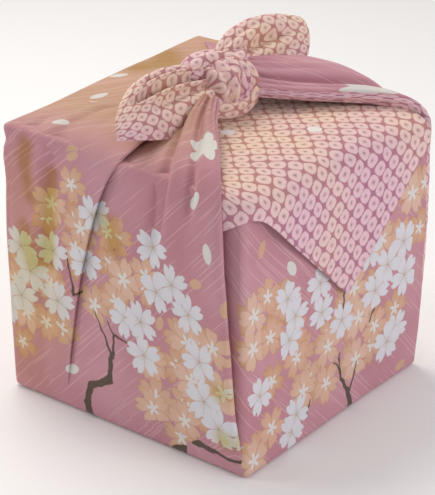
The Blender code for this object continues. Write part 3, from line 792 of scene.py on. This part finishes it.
rows, flat = gathered(FRONT_FOLDS, -1)
front = laid_sheet("front_gather", rows, flat, (120, 150), [blossom_cotton, dapple_cotton],
                   gather_detail(7.3, 2, deep=1.9,
                                 grooves=((2.5, 5.0, 3.0, 8.6, 0.26), (4.1, 3.0, 3.6, 8.6, 0.22))),
                   flip=True)
rows, flat = gathered(BACK_FOLDS, 1)
rear = laid_sheet("back_gather", rows, flat, (130, 150), [blossom_cotton, dapple_cotton],
                  gather_detail(6.1, 7, deep=1.9,
                                grooves=((5.0, 3.4, 4.4, 8.6, 0.24), (3.4, 2.4, 5.4, 8.6, 0.22))),
                  inner_rows=6.9)

# %% Side fold at the front left
rows, flat = gathered(SIDE_FOLDS, -1)
wall_z = (1.2,) + FACE_Z
wall = [(-HALF + 1.8 if z < 2 else -HALF + 1.2, -82.0, z) for z in wall_z]
wall += [(-98.6, -80.0, 187.5), (-98.0, -66.0, 189.5), (-97.0, -45.0, 190.5), (-95.0, -22.0, 191.0)]
for row in rows:                        # over the top it lies on the raised skin, then sinks in
    row[5:] = [(x, y, z + top_rise(x, y) * share) for (x, y, z), share in zip(row[5:], (1, 1, 0.8, -0.2))]
rows.insert(0, wall)
flat.insert(0, [(u - 17, v) for u, v in flat[0]])
side_fold = laid_sheet("side_fold", rows, flat, (90, 140), [blossom_cotton, dapple_cotton],
                       gather_detail(5.0, 12, grooves=((1.9, 2.2, 4.2, 5.9, 0.20),)), flip=True)

# %% [markdown]
# ## The two free ends
# Each tied corner leaves the knot as a pleated, doubled leaf with the dapple outside. The front one
# lies low to the left; the back one stands up to the right behind the knot.

# %% Tables of the free ends
LEFT_END = (
    ("back hem", (-14, -4, 218), (-17, -34, 214), (-17, -56, 214), (-14, -72, 214), (-9, -82, 216)),
    ("back", (-15, -4, 224), (-20, -36, 226), (-20, -58, 226), (-17, -72, 224), (-11, -82, 222)),
    ("top edge", (-8, -4, 230), (-13, -38, 238), (-13, -60, 237.5), (-11, -76, 234), (-9, -86, 229)),
    ("upper fold", (-2, -6, 229), (-4, -38, 235), (-3, -60, 235), (-3, -80, 232), (-3, -95, 227)),
    ("crease 1", (-4, -8, 225), (-9, -38, 229), (-7, -60, 230), (-3, -82, 228), (0, -100, 224)),
    ("ridge", (3, -10, 223), (3, -38, 227), (3, -60, 227), (3, -84, 225), (3, -105, 221)),
    ("crease 2", (1, -10, 219), (-5, -40, 221), (-3, -61, 222), (3, -86, 221), (5, -108, 218)),
    ("front panel", (9, -12, 216), (8, -42, 214), (10, -64, 213), (10, -88, 214), (9, -110, 214)),
    ("lower hem", (10, -14, 208), (13, -46, 198), (14, -66, 198.5), (12, -90, 205), (9, -111, 210)),
)
RIGHT_END = (
    ("back hem", (-8, 6, 222), (-20, 31, 221), (-20, 53, 221), (-17, 73, 221), (-13, 89, 221)),
    ("back", (-10, 5, 231), (-23, 31, 237), (-22, 53, 238), (-19, 75, 236), (-14, 94, 232)),
    ("top edge", (-8, 2, 235), (-14, 25, 246), (-14, 50, 250), (-11, 77, 247), (-8, 97, 239)),
    ("upper fold", (-2, 4, 234), (-5, 28, 242), (-6, 52, 243.5), (-4, 78, 241), (-3, 100, 234)),
    ("crease", (-2, 8, 231), (0, 30, 233), (-5, 50, 234), (3, 77, 234), (1, 99, 228)),
    ("panel", (5, 12, 224), (7, 34, 224), (8, 54, 224.5), (9, 77, 224), (5, 95, 221)),
    ("lower hem", (6, 16, 214), (9, 37, 213), (11, 56, 213.5), (11, 76, 213.5), (8, 89, 215)),
)


def free_end(name, table, creases, flip):
    """A free end; creases are (row, depth, how far along it runs, half width)."""
    rows = [list(fold[1:]) for fold in table]
    width = [0.0]
    for one, two in zip(rows, rows[1:]):
        width.append(width[-1] + (Vector(one[2]) - Vector(two[2])).length + 2)
    flat = [[(abs(p[1]) + ENDS_SHIFT, w) for p in row] for row, w in zip(rows, width)]

    def detail(p, s, t):
        pull = 1 - ease(0.0, 2.6, t)
        fold = sum(depth * math.exp(-((s - row - 0.25 * math.sin(t)) / wide) ** 2)
                   * (1 - ease(0.6 * run, run, t))
                   for row, depth, run, wide in creases)
        return (1.3 * pull * pucker(s * 5.2 + 1.2 * soft_noise(p, 25, 6)) - fold
                + 0.5 * soft_noise(p, 18, 3) + 0.15 * soft_noise(p, 6, 8))
    return laid_sheet(name, rows, flat, (130, 100), [dapple_cotton], detail, flip=flip, cloth=1.1)


left_end = free_end("left_end", LEFT_END,
                    ((2.6, 4.4, 3.1, 0.22), (4.3, 9.0, 3.6, 0.40), (6.1, 2.8, 2.6, 0.22)), False)
right_end = free_end("right_end", RIGHT_END,
                     ((3.8, 6.5, 3.8, 0.30), (4.8, 3.0, 3.9, 0.22), (2.6, 2.2, 2.4, 0.22)), True)

# %% [markdown]
# ## The knot
# A reef knot of two gathered strands. The front strand runs under the knot as a roll, turns up at the
# right and comes back over the top to the left. The back strand goes round the middle as a broad band.
# A strand is a section of pleats swept along its middle line; the band is a pleated barrel.

# %% Middle lines of the strands
# Columns: x, y and z from the middle of the knot, and the radius as a share of the full radius.
KNOT = Vector((0.0, 4.0, 216.0))
BAND_MIDDLE = (1.5, -1.0, 0.5)
BAND_REACH = (15.0, 18.0, 14.5)     # half sizes of the band along x, y and z
ROPE_R = 10.0
FRONT_LOOP = (
    (4, -30, -8, 0.5), (8, -18, -12, 0.7), (10, -5, -15, 0.7), (10, 9, -15, 0.7), (9, 19, -9, 0.75),
    (5, 20, 1, 0.8), (-3, 12, 9, 0.85), (-9, -1, 11, 0.9), (-12, -14, 11, 0.95), (-10, -32, 9, 0.6),
)
BACK_LOOP = (
    (-5, 30, -4, 0.75), (-9, 17, -6, 0.85), (-9, 3, -8, 0.85), (-1, -5, -10, 0.8), (8, -6, -6, 0.85),
    (9, -5, 0, 0.85), (6, -3, 5, 0.8), (0, 4, 8, 0.85), (-4, 16, 9, 0.9), (-5, 30, 9, 0.8),
)


def strand(name, points, pleats, twist, seed):
    """A gathered strand: a grid rolled into a pleated tube about the smooth line through the points."""
    points = np.array(points, float)
    bm = bmesh.new()
    steps, around = 120, 96
    bmesh.ops.create_grid(bm, x_segments=steps, y_segments=around, size=1.0)
    uv = bm.loops.layers.uv.new("cloth")
    line = spline_weights(len(points), np.linspace(0, len(points) - 1, steps + 1)) @ points
    places = [KNOT + Vector(p[:3]) for p in line]
    tangent = [(places[min(i + 1, steps)] - places[max(i - 1, 0)]).normalized() for i in range(steps + 1)]
    side = [tangent[0].orthogonal().normalized()]
    for t in tangent[1:]:
        side.append((side[-1] - t * side[-1].dot(t)).normalized())
    run = [0.0]
    for one, two in zip(places, places[1:]):
        run.append(run[-1] + (two - one).length)
    keys = {}
    for v in bm.verts:
        i, j = round((v.co.x + 1) / 2 * steps), round((v.co.y + 1) / 2 * around)
        keys[v] = (i, j)
        turn = 2 * math.pi * j / around
        sway = 0.8 * math.sin(run[i] / 17 + seed)
        r = ROPE_R * line[i][3] * (1.0 + 0.20 * pucker(pleats * turn + twist * i / steps + sway)
                                   + 0.06 * math.cos(2 * turn + seed + run[i] / 25))
        ends = min(i, steps - i) / 7
        r *= min(1.0, 0.3 + 0.7 * ends)
        v.co = places[i] + (side[i] * math.cos(turn) + tangent[i].cross(side[i]) * math.sin(turn)) * r
    for face in bm.faces:
        for loop in face.loops:
            i, j = keys[loop.vert]
            loop[uv].uv = ((run[i] + ENDS_SHIFT) * MM, (84 + j * 0.7) * MM)
    bmesh.ops.remove_doubles(bm, verts=bm.verts, dist=0.01)
    bmesh.ops.recalc_face_normals(bm, faces=bm.faces)
    for v in bm.verts:
        v.co = (v.co + SHIFT) * MM
    return finished(name, bm, [dapple_cotton], 1.0)


front_loop = strand("front_loop", FRONT_LOOP, 5, 0.6, 0.4)
back_loop = strand("back_loop", BACK_LOOP, 6, -0.8, 1.9)


# %% The band round the middle
def knot_band():
    """A barrel along Y with pleats that run round it and lean a little."""
    bm = bmesh.new()
    around, across = 150, 110
    bmesh.ops.create_grid(bm, x_segments=around, y_segments=across, size=1.0)
    uv = bm.loops.layers.uv.new("cloth")
    keys = {}
    for v in bm.verts:
        turn, s = math.pi * v.co.x, v.co.y
        keys[v] = (turn, s)
        lean = 0.9 * math.sin(turn + 0.6) + 0.25 * math.sin(3 * turn)
        fold = 0.27 * pucker(s * 11.0 + lean + 0.9 * math.sin(2.1 * s)) + 0.02 * math.sin(5 * turn + 4 * s)
        full = max(0.0, 1 - abs(s) ** 3.2) ** 0.42
        r = full * (1 + fold)
        shape = (r * math.cos(turn), s, r * math.sin(turn))
        v.co = KNOT + Vector(m + h * c for m, h, c in zip(BAND_MIDDLE, BAND_REACH, shape))
    for face in bm.faces:
        for loop in face.loops:
            turn, s = keys[loop.vert]
            loop[uv].uv = ((turn * 13 + 260) * MM, (114 + s * 26) * MM)
    bmesh.ops.remove_doubles(bm, verts=bm.verts, dist=0.01)
    bmesh.ops.recalc_face_normals(bm, faces=bm.faces)
    for v in bm.verts:
        v.co = (v.co + SHIFT) * MM
    return finished("knot_band", bm, [dapple_cotton], 1.0)


band = knot_band()

# %% [markdown]
# The cloth is one 0.90 m square, and each stretch prints the area of it that shows:
# the layers that are hidden inside the wrap aren't built.


# %% Sizes
def area(obj):
    return sum(p.area for p in obj.data.polygons)


for piece, length, held in ((walls, 0.56, "folded"), (flap, 0.22, "folded"), (front, 0.30, "gathered"),
                            (rear, 0.30, "gathered"), (side_fold, 0.30, "folded"), (left_end, 0.11, "folded"),
                            (right_end, 0.11, "folded"), (front_loop, 0.12, "gathered"),
                            (back_loop, 0.12, "gathered"), (band, 0.11, "gathered")):
    round(area(piece) / length, 3)
    print(piece.name, "shows", round(area(piece) * 1e4), "cm2")
